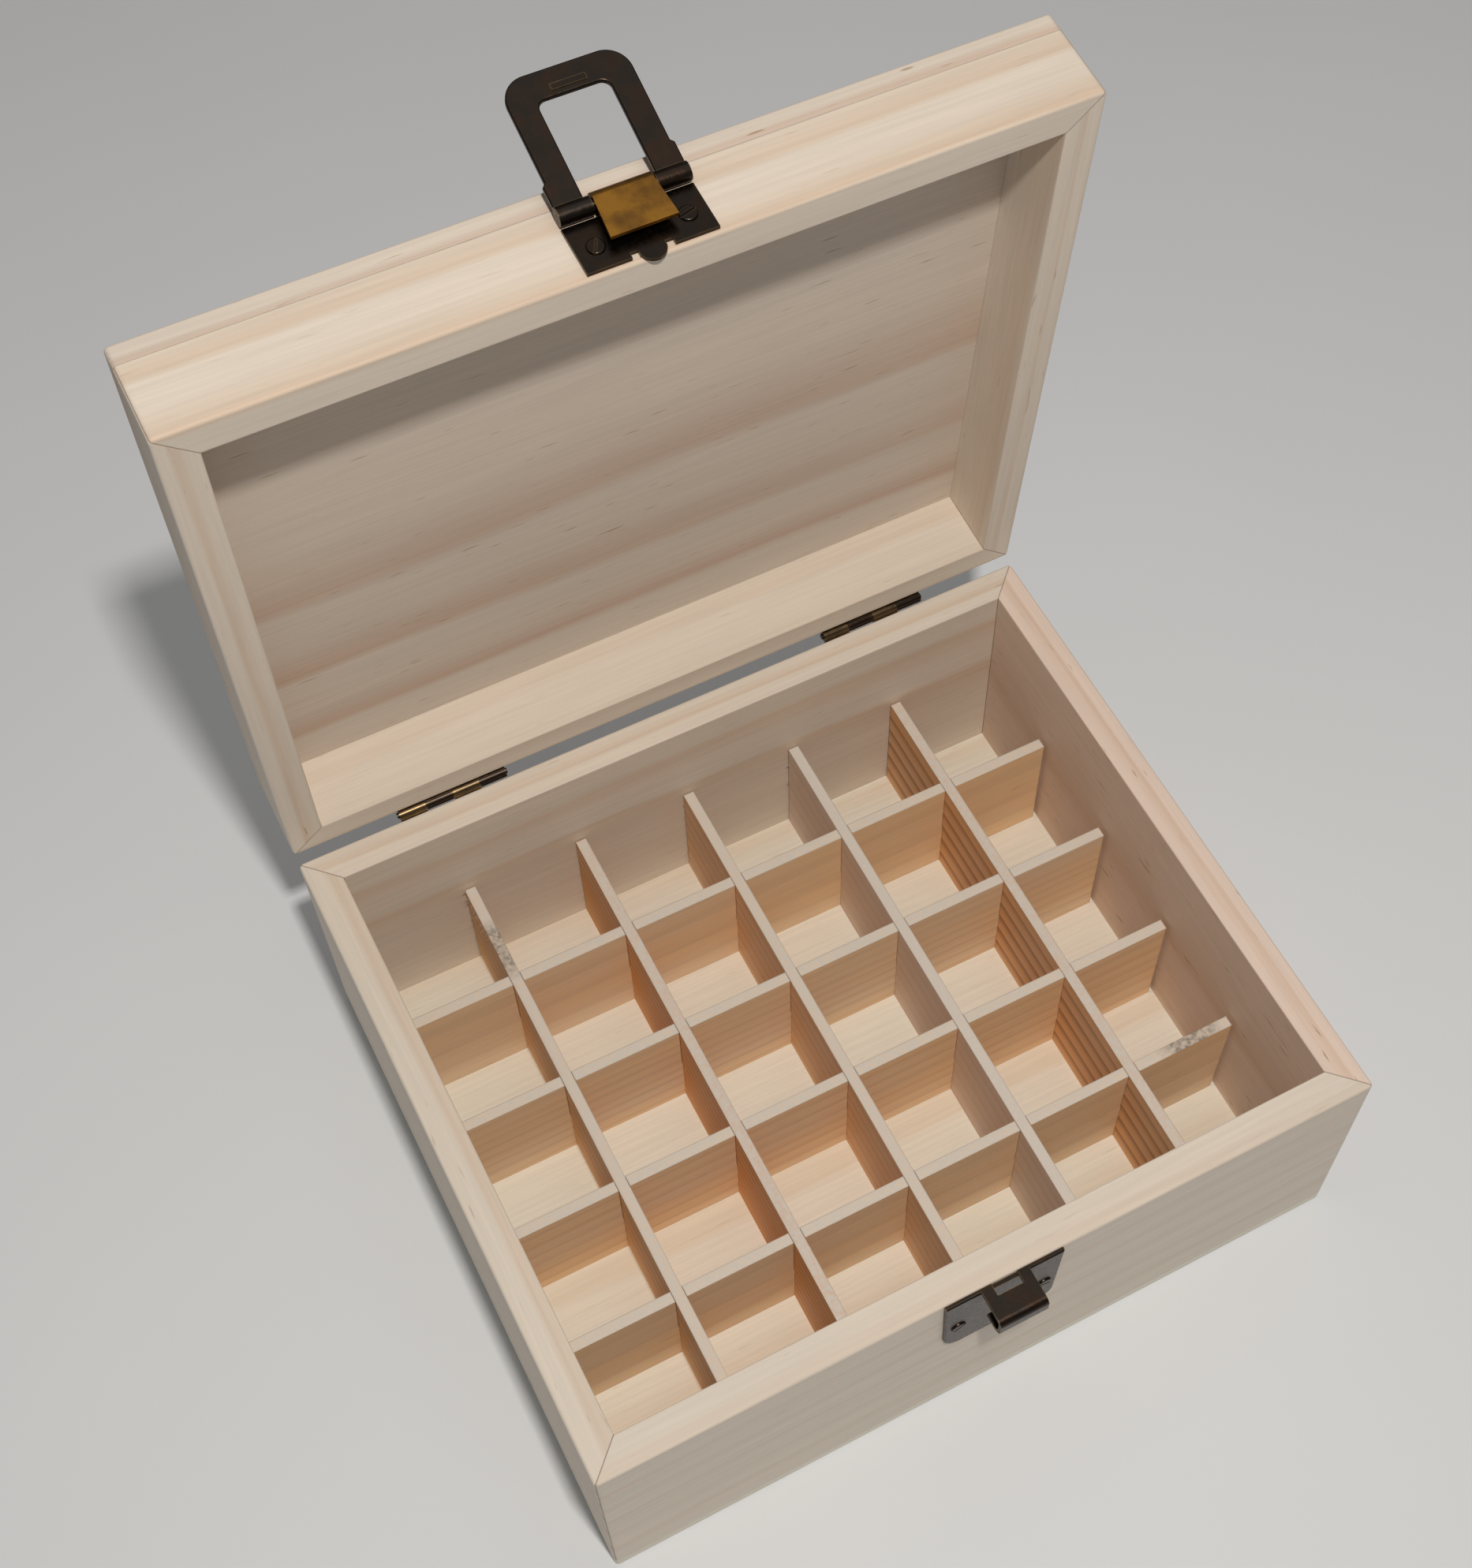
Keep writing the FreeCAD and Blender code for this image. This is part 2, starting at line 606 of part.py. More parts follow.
def loop():
    """A stamped frame whose legs widen into knuckles, swinging on the bar between them."""
    body = doc.addObject("PartDesign::Body", "latch_loop")
    frame = sketch_on(body, "XZ_Plane", "loop_frame")
    outline(frame, [
        (f"-{LOOP_HEEL}", "0"),
        (LOOP_HEEL, "0"),
        (LOOP_HEEL, "loop_flare_height"),
        ("loop_width / 2", "loop_flare_height + loop_flare"),
        ("loop_width / 2", "loop_reach"),
        ("-loop_width / 2", "loop_reach"),
        ("-loop_width / 2", "loop_flare_height + loop_flare"),
        (f"-{LOOP_HEEL}", "loop_flare_height"),
    ])
    rectangle(frame, "-window_width / 2", "window_width / 2", "pivot_radius / 2", "window_reach")
    pad(body, frame, "loop_thickness", "loop_plate", symmetric=True)
    half = SIZES["loop_width"] / 2
    ease(body, "loop_corner", "loop_corners",
         lambda edge: abs(abs(edge.CenterOfMass.x) - half) < 1e-4
         and lies(edge, Z=SIZES["loop_reach"]) and edge.BoundBox.YLength > 0.1)
    pane = SIZES["window_width"] / 2
    ease(body, "window_corner", "window_corners",
         lambda edge: abs(abs(edge.CenterOfMass.x) - pane) < 1e-4
         and lies(edge, Z=SIZES["window_reach"]) and edge.BoundBox.YLength > 0.1)
    gauge = SIZES["loop_thickness"] / 2
    ease(body, "loop_edge", "loop_arris",
         lambda edge: abs(abs(edge.CenterOfMass.y) - gauge) < 1e-4 and edge.BoundBox.YLength < 1e-6
         and edge.BoundBox.ZMax > 2 * SIZES["pivot_radius"])
    bar = sketch_on(body, "YZ_Plane", "loop_bar")
    circles(bar, [("0", "0")], "pivot_radius")
    pad(body, bar, f"2 * {LOOP_HEEL}", "loop_bar_pad", symmetric=True)
    inner = "(roll_width / 2 + loop_side_gap)"
    for word, start in (("left", f"-{LOOP_HEEL}"), ("right", inner)):
        end = sketch_on(body, "YZ_Plane", f"loop_{word}_knuckle", start)
        circles(end, [("0", "0")], "loop_knuckle")
        pad(body, end, f"{LOOP_HEEL} - {inner}", f"loop_{word}_knuckle_pad")
    rib = sketch_on(body, "XZ_Plane", "loop_rib", "loop_thickness / 2 - 0.1")
    rectangle(rib, "-rib_length / 2", "rib_length / 2",
              "loop_reach - rib_inset - rib_width / 2", "loop_reach - rib_inset + rib_width / 2")
    pad(body, rib, "rib_height + 0.1", "loop_rib_pad")
    return body


finish(loop(), "latch_loop",
       LID_POSE + " * " + pose("0", f"{LID_FRONT} - {ROLL_RADIUS}", f"{LID_RIM} + pivot_lift",
                               "1; 0; 0", "loop_tilt"))

# Checks, then one file for each sub-part

doc.recompute()
failed = [thing.Label for thing in doc.Objects if {"Invalid", "Error"} & set(thing.State)]
if failed:
    raise RuntimeError("objects that failed: " + ", ".join(failed))
for thing in subparts:
    if thing.Shape.isNull() or not thing.Shape.isValid():
        raise RuntimeError(f"{thing.Label} has no valid shape")
os.makedirs("parts", exist_ok=True)
for thing in subparts:
    thing.Shape.exportStep(f"parts/{thing.Label}.step")
    print(f"{thing.Label}: {len(thing.Shape.Solids)} solid(s), {thing.Shape.Volume / 1000:.3f} cm3")
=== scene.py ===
"""Looks for a hinged pine box with a lift-out divider grid, two small hinges and a bronzed hasp."""
import json
import math
import random
from collections import namedtuple

import bmesh
import bpy
from bpy.props import FloatProperty, FloatVectorProperty, IntProperty, PointerProperty
from mathutils import Matrix, Vector


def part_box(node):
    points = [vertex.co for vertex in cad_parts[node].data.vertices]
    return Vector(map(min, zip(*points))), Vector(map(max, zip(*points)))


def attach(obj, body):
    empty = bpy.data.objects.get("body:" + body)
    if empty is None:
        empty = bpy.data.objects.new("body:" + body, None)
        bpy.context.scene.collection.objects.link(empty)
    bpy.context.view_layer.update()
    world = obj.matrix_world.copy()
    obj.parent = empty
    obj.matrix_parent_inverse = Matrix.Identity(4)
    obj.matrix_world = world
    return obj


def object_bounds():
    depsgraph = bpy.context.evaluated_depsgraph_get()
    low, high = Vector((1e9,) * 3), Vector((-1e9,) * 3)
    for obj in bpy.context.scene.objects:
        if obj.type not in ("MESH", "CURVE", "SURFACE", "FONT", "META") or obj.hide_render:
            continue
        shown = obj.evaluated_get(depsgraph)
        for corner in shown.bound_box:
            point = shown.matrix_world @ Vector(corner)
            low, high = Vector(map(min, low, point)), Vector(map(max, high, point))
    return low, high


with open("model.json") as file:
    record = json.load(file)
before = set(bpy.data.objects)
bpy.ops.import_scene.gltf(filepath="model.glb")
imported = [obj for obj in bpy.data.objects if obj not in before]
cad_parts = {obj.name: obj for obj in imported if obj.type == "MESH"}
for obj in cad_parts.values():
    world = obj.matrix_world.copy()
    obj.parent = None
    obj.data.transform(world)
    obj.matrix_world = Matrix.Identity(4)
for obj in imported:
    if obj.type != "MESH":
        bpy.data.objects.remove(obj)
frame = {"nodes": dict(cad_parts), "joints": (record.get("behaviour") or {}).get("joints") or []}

bl_info = {
    "name": "Pine divider box",
    "version": (1, 0, 0),
    "blender": (4, 5, 0),
    "location": "View3D > Sidebar > Pine box",
    "description": "Finishes the boards, dividers and hardware of a hinged pine box",
    "category": "Object",
}

NODES = frame["nodes"]
CAD_BOX = [list(corner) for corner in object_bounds()]
MM = 0.001


def linear(hex_colour):
    """An sRGB hex colour as the linear red, green and blue that the shaders take."""
    channels = [int(hex_colour[place:place + 2], 16) / 255 for place in (1, 3, 5)]
    return tuple(c / 12.92 if c <= 0.04045 else ((c + 0.055) / 1.055) ** 2.4 for c in channels)


def colour(name, description, hex_colour):
    """A colour that a user may change, given as sRGB."""
    return FloatVectorProperty(name=name, description=description, subtype="COLOR", size=3,
                               min=0, max=1, default=linear(hex_colour))


def length(name, description, millimetres):
    """A length that a user may change, given in millimetres."""
    return FloatProperty(name=name, description=description, unit="LENGTH", subtype="DISTANCE",
                         min=0, default=millimetres * MM)


def share(name, description, amount):
    """A share between nought and one that a user may change."""
    return FloatProperty(name=name, description=description, subtype="FACTOR", min=0, max=1, default=amount)


def power(name, description, watts):
    """The power of a lamp that a user may change."""
    return FloatProperty(name=name, description=description, unit="POWER", subtype="POWER",
                         min=0, default=watts)


def count(name, description, number):
    """A whole number that a user may change."""
    return IntProperty(name=name, description=description, min=0, default=number)


# What a user would change
class PineLooks(bpy.types.PropertyGroup):
    """Colours and grain sizes of the planed pine boards and sawn strips."""

    board_early: colour("Board early wood", "Pale wood between the growth rings of the boards", "#E1D7C9")
    board_late: colour("Board late wood", "Darker line that ends each growth ring of the boards", "#CFAC8A")
    panel_early: colour("Panel early wood", "Pale wood of the lid panel", "#D8CDC0")
    panel_late: colour("Panel late wood", "Ring lines of the lid panel", "#BF9679")
    floor_early: colour("Floor early wood", "Pale wood of the bottom panel", "#E8E5D8")
    floor_late: colour("Floor late wood", "Ring lines of the bottom panel", "#D6BE9C")
    warm_early: colour("Warm early wood", "Pale wood of the warmer strips", "#F0B473")
    warm_late: colour("Warm late wood", "Ring lines of the warmer strips", "#C07034")
    amber_early: colour("Amber early wood", "Pale wood of two strips between honey and warm", "#F2C28D")
    honey_early: colour("Honey early wood", "Pale wood of the slightly warmer strips", "#F6D2A5")
    stripe_late: colour("Stripe late wood", "Ring lines of the one strongly striped strip", "#8E4A17")
    pink_early: colour("Pink early wood", "Pale wood of the pinkish wall and strip", "#E8D3C4")
    blush: colour("Blush", "Faint pinkish patches in the boards", "#E8DACA")
    sawn_edge: colour("Sawn edge", "Furry sawn top edges of the strips", "#D5CEC4")
    resin: colour("Resin", "Short resin flecks", "#96714F")
    amber: colour("Amber", "Amber resin streak along the edge of one wall", "#C08B4B")
    smudge: colour("Smudge", "Grey saw smudges on the edges of two strips", "#75695C")
    joint_line: colour("Joint line", "Hairline where two mitred boards meet", "#8C6E55")
    joint_width: length("Joint width", "Width of that hairline", 0.32)
    amber_inset: length("Amber inset", "Distance of the amber streak from the outside of its wall", 1.9)
    amber_core: length("Amber core", "Distance from its middle at which the amber streak starts to fade", 0.2)
    amber_reach: length("Amber reach", "Distance from its middle at which the amber streak ends", 1.4)
    smudge_reach: length("Smudge reach", "Distance from its middle at which a smudge ends", 10.0)
    ring_width: length("Ring width", "Usual distance between growth rings on a board", 7.0)
    fibre_width: length("Fibre width", "Width of the fine fibre streaks", 0.9)
    fleck_width: length("Fleck width", "Width of the resin flecks", 0.9)
    grit_size: length("Grit size", "Size of the speckles on sawn edges", 1.1)
    wander_size: length("Wander size", "Distance over which the rings bend", 26.0)
    wander_reach: length("Wander reach", "How far the rings bend to the side", 5.0)
    edge_round: length("Edge rounding", "Rounding that sanding leaves on the edges of the boards", 0.5)
    roughness: share("Roughness", "Roughness of dry planed pine", 0.62)


class BronzeLooks(bpy.types.PropertyGroup):
    """Colours and wear of the bronzed steel hardware."""

    dark: colour("Dark bronze", "Blackened bronze plating", "#39332E")
    brown: colour("Brown bronze", "Thinner brown patches in the plating", "#49362A")
    # Brass is also spread over one whole hinge leaf as a painted highlight
    brass: colour("Worn brass", "Brass that shows on rubbed edges", "#AE9468")
    # The gold of the flap is partly rubbed brass and partly a painted reflection of the nearby wood
    gold_and_reflection: colour("Gold flap", "Rubbed golden face of the rolled flap", "#AC7A33")
    patch_size: length("Patch size", "Size of the brown patches", 5.0)
    scratch_size: length("Scratch size", "Size of the fine marks that vary the gloss", 0.8)
    edge_width: length("Edge width", "Width of the rubbed edges", 0.35)
    roughness: share("Roughness", "Roughness of lacquered bronze plating", 0.3)


class StageLooks(bpy.types.PropertyGroup):
    """Floor and lights around the box."""

    floor: colour("Floor", "Pale matt floor", "#E6EAEE")
    cloud_size: length("Cloud size", "Size of the faint clouds in the floor's paper", 165.0)
    key_power: power("Key light", "Power of the small lamp above the camera", 4.7)
    top_power: power("Top light", "Power of the wide soft light overhead", 2.2)
    sky: share("Sky", "Strength of the even light from all round", 0.18)
    sky_colour: colour("Sky colour", "Colour of the even light from all round", "#F5F0EA")


class SplinterSizes(bpy.types.PropertyGroup):
    """Torn fibres on the sawn ends of the strips."""

    longest: length("Longest", "Length of the longest torn fibre", 3.2)
    thickness: length("Thickness", "Thickness of a torn fibre at its root", 0.28)
    per_end: count("Per end", "Torn fibres on one end of a strip", 3)
    end_run: length("End run", "Length of the other strips' ends that is torn", 1.2)
    ragged_run: length("Ragged run", "Length of the ragged strip's edge that is torn", 26.0)
    ragged_depth: length("Ragged depth", "Depth of the ragged strip's edge that is torn", 2.4)
    clear_above: length("Clear above", "Depth below a strip's top at which fibres start", 0.9)
    clear_below: length("Clear below", "Height over a strip's foot at which fibres end", 4.0)
    ragged_count: count("Ragged count", "Torn fibres along the edge of the ragged strip", 14)


# Shader building
def add(tree, kind, inputs=None, output=0, **settings):
    """Adds one shader node with its settings, links or sets its inputs, and gives back one of its outputs."""
    made = tree.nodes.new("ShaderNode" + kind)
    for name, value in settings.items():
        setattr(made, name, value)
    for name, value in (inputs or {}).items():
        if isinstance(value, bpy.types.NodeSocket):
            tree.links.new(value, made.inputs[name])
        else:
            made.inputs[name].default_value = value
    return made.outputs[output] if made.outputs else None


def new_surface(name):
    """An empty material and its node tree, ready for a surface shader."""
    material = bpy.data.materials.new(name)
    material.use_nodes = True
    material.node_tree.nodes.clear()
    return material, material.node_tree


def rgba(colour_value):
    """A shader's four-part colour."""
    return (*colour_value, 1.0)


def dress(node_name, material):
    """Gives a CAD node its finish."""
    if node_name not in NODES:
        raise RuntimeError(f"the frame has no piece named {node_name}")
    mesh = NODES[node_name].data
    mesh.materials.clear()
    mesh.materials.append(material)
    for face in mesh.polygons:
        face.material_index = 0


# The lid stands open, so its boards are mapped back to the shut lid, where grain runs along the axes
HINGE = next(joint for joint in frame["joints"] if joint["name"] == "lid_hinge")
OPEN_ANGLE = math.radians(-HINGE["range_deg"][0])


def on_shut_lid(tree, place):
    """The place that a point of the open lid has when the lid is shut."""
    axis_point = Vector(HINGE["pos_m"])
    shift = axis_point - Matrix.Rotation(OPEN_ANGLE, 3, "X") @ axis_point
    return add(tree, "Mapping", {"Vector": place, "Rotation": (OPEN_ANGLE, 0, 0), "Location": shift})


# grain: axis of the fibres; pith: where the ring centre lies from the frame's origin, across and up, in mm;
# ring: share of the usual ring width; contrast: how plainly the rings show; flecks: how plainly resin shows
Board = namedtuple("Board", "grain early late pith ring contrast flecks")

WALLS = {
    "front_wall": Board("x", "board_early", "board_late", (-160, -60), 1.3, 0.3, 0.2),
    "back_wall": Board("x", "board_early", "board_late", (190, 20), 0.8, 0.55, 0.3),
    "left_wall": Board("y", "board_early", "board_late", (40, -80), 1.1, 0.5, 0.6),
    "right_wall": Board("y", "pink_early", "board_late", (-190, 90), 1.0, 0.55, 1.0),
}
LID_RAILS = {
    "lid_front_rail": Board("x", "board_early", "board_late", (-140, 150), 1.5, 0.55, 0.2),
    "lid_back_rail": Board("x", "board_early", "board_late", (150, 120), 1.0, 0.35, 0.3),
    "lid_left_rail": Board("y", "board_early", "board_late", (30, 60), 1.0, 0.5, 0.6),
    "lid_right_rail": Board("y", "board_early", "board_late", (-160, 140), 0.7, 0.6, 0.5),
}
LONG_DIVIDERS = {
    "long_divider_1": Board("x", "honey_early", "board_late", (-70, 90), 0.7, 0.5, 0.3),
    "long_divider_2": Board("x", "honey_early", "board_late", (-30, -60), 0.6, 0.5, 0.2),
    "long_divider_3": Board("x", "honey_early", "warm_late", (20, 110), 0.8, 0.4, 0.3),
    "long_divider_4": Board("x", "honey_early", "board_late", (90, 80), 0.6, 0.5, 0.4),
}
SHORT_DIVIDERS = {
    "short_divider_1": Board("y", "amber_early", "warm_late", (-110, 70), 0.8, 0.45, 0.3),
    "short_divider_2": Board("y", "warm_early", "warm_late", (-50, 90), 0.6, 0.8, 0.2),
    "short_divider_3": Board("y", "amber_early", "warm_late", (40, -90), 0.8, 0.6, 0.2),
    "short_divider_4": Board("y", "pink_early", "board_late", (30, 100), 0.9, 0.35, 0.2),
    "short_divider_5": Board("y", "warm_early", "stripe_late", (60, -60), 0.95, 1.0, 0.2),
}
FLOOR_PANEL = Board("x", "floor_early", "floor_late", (20, 130), 1.1, 0.4, 0.3)
LID_PANEL = Board("x", "panel_early", "panel_late", (-40, -110), 1.5, 0.75, 0.8)

# Noise is drawn out along the grain: the share of its speed across the grain that it keeps along it
SLOW_ALONG = (0.12, 1, 1)
FIBRE_ALONG = (0.03, 1, 1)
FLECK_ALONG = (0.1, 1, 1)
# Noise seldom leaves this range, so spreading it out gives plain light and dark patches
MOST_NOISE = {"From Min": 0.35, "From Max": 0.65}
# Late wood across one ring, as place and strength: it builds up slowly and ends sharply
RING_PROFILE = ((0.45, 0.12), (0.86, 1.0), (0.99, 0.0))
FAINTEST_RINGS = 0.45
MOST_BLUSH = 0.45
JOINT_STRENGTH = 0.55
MOST_AMBER = 0.7
MOST_RESIN = 0.75
LEAST_SPECKLE = 0.72
SAWN_DEPTH = 0.25 * MM
ROUGHNESS_SPREAD = 0.1
FIBRE_RELIEF = 0.15 * MM
PINE_IOR = 1.5


def along_grain(tree, place, board):
    """Places measured from the board's pith, with the grain along x."""
    quarter_turn = -math.pi / 2 if board.grain == "y" else 0
    across = -board.pith[0] if board.grain == "x" else board.pith[0]
    shift = (0, across * MM, -board.pith[1] * MM)
    return add(tree, "Mapping", {"Vector": place, "Rotation": (0, 0, quarter_turn), "Location": shift})


def ring_colour(tree, grain, board, looks):
    """Growth rings round the pith, bent by slow noise, over early wood with faint pinkish patches."""
    slow = add(tree, "VectorMath", {0: grain, 1: SLOW_ALONG}, operation="MULTIPLY")
    wander = add(tree, "TexNoise", {"Vector": slow, "Scale": 1 / looks.wander_size, "Detail": 2.0})
    reach = (0, looks.wander_reach, looks.wander_reach)
    aside = wander.node.outputs["Color"]
    bent = add(tree, "VectorMath", {0: aside, 1: reach, 2: grain}, operation="MULTIPLY_ADD")
    # The wave texture's rings lie 2 pi / 20 apart at a scale of one
    ring_scale = 2 * math.pi / 20 / (looks.ring_width * board.ring)
    rings = add(tree, "TexWave", {"Vector": bent, "Scale": ring_scale}, "Fac", wave_type="RINGS",
                rings_direction="X", wave_profile="SAW")
    late = add(tree, "ValToRGB", {"Fac": rings})
    ramp = late.node.color_ramp.elements
    ramp.remove(ramp[-1])
    for position, level in RING_PROFILE:
        ramp.new(position).color = (level, level, level, 1)
    uneven = add(tree, "TexNoise", {"Vector": slow, "Scale": 1 / (3 * looks.wander_size), "Detail": 1.0})
    strength = add(tree, "MapRange", {"Value": uneven, **MOST_NOISE, "To Max": board.contrast,
                                      "To Min": FAINTEST_RINGS * board.contrast})
    ring_share = add(tree, "Math", {0: late, 1: strength}, operation="MULTIPLY")
    patch = add(tree, "MapRange", {"Value": wander, "From Min": 0.4, "From Max": 0.7, "To Max": MOST_BLUSH})
    early_colour = rgba(getattr(looks, board.early))
    late_colour = rgba(getattr(looks, board.late))
    early = add(tree, "MixRGB", {"Fac": patch, "Color1": early_colour, "Color2": rgba(looks.blush)})
    return add(tree, "MixRGB", {"Fac": ring_share, "Color1": early, "Color2": late_colour})


def mitre_hairline(tree, axes, wood, looks):
    """Draws the sloping joint between two boards at each corner of the box."""
    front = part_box("front_wall")
    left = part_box("left_wall")
    corner_step = (front[1].x - front[0].x) / 2 - (left[1].y - left[0].y) / 2
    across = add(tree, "Math", {0: axes["X"]}, operation="ABSOLUTE")
    along = add(tree, "Math", {0: axes["Y"]}, operation="ABSOLUTE")
    apart = add(tree, "Math", {0: across, 1: along}, operation="SUBTRACT")
    half_width = looks.joint_width / 2
    on_joint = add(tree, "Math", {0: apart, 1: corner_step, 2: half_width}, operation="COMPARE")
    faint = add(tree, "Math", {0: on_joint, 1: JOINT_STRENGTH}, operation="MULTIPLY")
    return add(tree, "MixRGB", {"Fac": faint, "Color1": wood, "Color2": rgba(looks.joint_line)})


def amber_streak(tree, axes, grain, amber_at, wood, looks):
    """Draws an amber streak along a wall, in broken lengths."""
    offset = add(tree, "Math", {0: axes["X"], 1: amber_at}, operation="SUBTRACT")
    aside = add(tree, "Math", {0: offset}, operation="ABSOLUTE")
    line = add(tree, "MapRange", {"Value": aside, "From Min": looks.amber_reach,
                                  "From Max": looks.amber_core})
    slow = add(tree, "VectorMath", {0: grain, 1: SLOW_ALONG}, operation="MULTIPLY")
    broken = add(tree, "TexNoise", {"Vector": slow, "Scale": 1 / looks.wander_size, "Detail": 2.0})
    lengths = add(tree, "MapRange", {"Value": broken, "From Min": 0.5, "From Max": 0.62,
                                     "To Max": MOST_AMBER})
    amber = add(tree, "Math", {0: line, 1: lengths}, operation="MULTIPLY")
    return add(tree, "MixRGB", {"Fac": amber, "Color1": wood, "Color2": rgba(looks.amber)})


def sawn_top(tree, place, height, sawn_above, smudged_at, wood, looks):
    """Draws the pale speckles of a sawn top edge, and a grey smudge where there is one."""
    edge = add(tree, "MapRange", {"Value": height, "From Min": sawn_above - SAWN_DEPTH,
                                  "From Max": sawn_above})
    grit = add(tree, "TexNoise", {"Vector": place, "Scale": 1 / looks.grit_size, "Detail": 3.0})
    speckle = add(tree, "MapRange", {"Value": grit, **MOST_NOISE, "To Min": LEAST_SPECKLE})
    furry = add(tree, "Math", {0: edge, 1: speckle}, operation="MULTIPLY")
    wood = add(tree, "MixRGB", {"Fac": furry, "Color1": wood, "Color2": rgba(looks.sawn_edge)})
    if smudged_at is None:
        return wood
    away = add(tree, "VectorMath", {0: place, 1: smudged_at}, "Value", operation="DISTANCE")
    near = add(tree, "MapRange", {"Value": away, "From Min": looks.smudge_reach,
                                  "From Max": looks.smudge_reach / 2})
    stain = add(tree, "Math", {0: edge, 1: near}, operation="MULTIPLY")
    patchy = add(tree, "MapRange", {"Value": grit, **MOST_NOISE, "To Min": 0.2, "To Max": 0.8})
    dirt = add(tree, "Math", {0: stain, 1: patchy}, operation="MULTIPLY")
    return add(tree, "MixRGB", {"Fac": dirt, "Color1": wood, "Color2": rgba(looks.smudge)})


def pine(name, board, on_lid=False, sawn_above=None, mitred=False, smudged_at=None, amber_at=None):
    """Planed pine: dry and matt, with soft ring lines along the board, fine fibre streaks and resin flecks.

    sawn_above is the height over which a strip's edge is sawn and furry, so it looks paler and speckled, and
    smudged_at is the middle of a grey smudge on that edge. A mitred board shows the hairline of its corner
    joints. amber_at is the place across the box of an amber streak."""
    looks = bpy.context.scene.pine_looks
    material, tree = new_surface(name)
    place = add(tree, "TexCoord", output="Object")
    if on_lid:
        place = on_shut_lid(tree, place)
    axes = add(tree, "SeparateXYZ", {"Vector": place}).node.outputs
    grain = along_grain(tree, place, board)
    wood = ring_colour(tree, grain, board, looks)

    # Fibre streaks are finer in real pine and are drawn coarser so that they show
    fine = add(tree, "VectorMath", {0: grain, 1: FIBRE_ALONG}, operation="MULTIPLY")
    fibre = add(tree, "TexNoise", {"Vector": fine, "Scale": 1 / looks.fibre_width, "Detail": 3.0})
    streak = add(tree, "MapRange", {"Value": fibre, "From Min": 0.3, "From Max": 0.7,
                                    "To Min": 0.94, "To Max": 1.03})
    wood = add(tree, "VectorMath", {0: wood, "Scale": streak}, operation="SCALE")

    # Resin flecks are short dashes along the grain
    dashed = add(tree, "VectorMath", {0: grain, 1: FLECK_ALONG}, operation="MULTIPLY")
    resin = add(tree, "TexNoise", {"Vector": dashed, "Scale": 1 / looks.fleck_width, "Detail": 1.0})
    fleck = add(tree, "MapRange", {"Value": resin, "From Min": 0.72, "From Max": 0.8,
                                   "To Max": MOST_RESIN * board.flecks})
    wood = add(tree, "MixRGB", {"Fac": fleck, "Color1": wood, "Color2": rgba(looks.resin)})

    if mitred:
        wood = mitre_hairline(tree, axes, wood, looks)
    if amber_at is not None:
        wood = amber_streak(tree, axes, grain, amber_at, wood, looks)
    if sawn_above is not None:
        wood = sawn_top(tree, place, axes["Z"], sawn_above, smudged_at, wood, looks)

    gloss = add(tree, "MapRange", {"Value": fibre, "To Min": looks.roughness - ROUGHNESS_SPREAD,
                                   "To Max": looks.roughness + ROUGHNESS_SPREAD})
    eased = add(tree, "Bevel", {"Radius": looks.edge_round}, samples=4)
    relief = add(tree, "Bump", {"Height": fibre, "Normal": eased, "Strength": 0.25, "Distance": FIBRE_RELIEF})
    surface = add(tree, "BsdfPrincipled", {"Base Color": wood, "Roughness": gloss, "IOR": PINE_IOR,
                                           "Normal": relief})
    add(tree, "OutputMaterial", {"Surface": surface})
    return material


# Brown shows where the noise of the patches is strong
THIN_PLATING = {"From Min": 0.42, "From Max": 0.68, "To Max": 0.6}
# Cosine of the angle by which the surface turns away, where an edge starts to be rubbed and where it is bare
RUBBED_EDGE = {"From Min": 0.995, "From Max": 0.88}
GOLD_FADE = 0.4 * MM
PLATING_RELIEF = 0.1 * MM


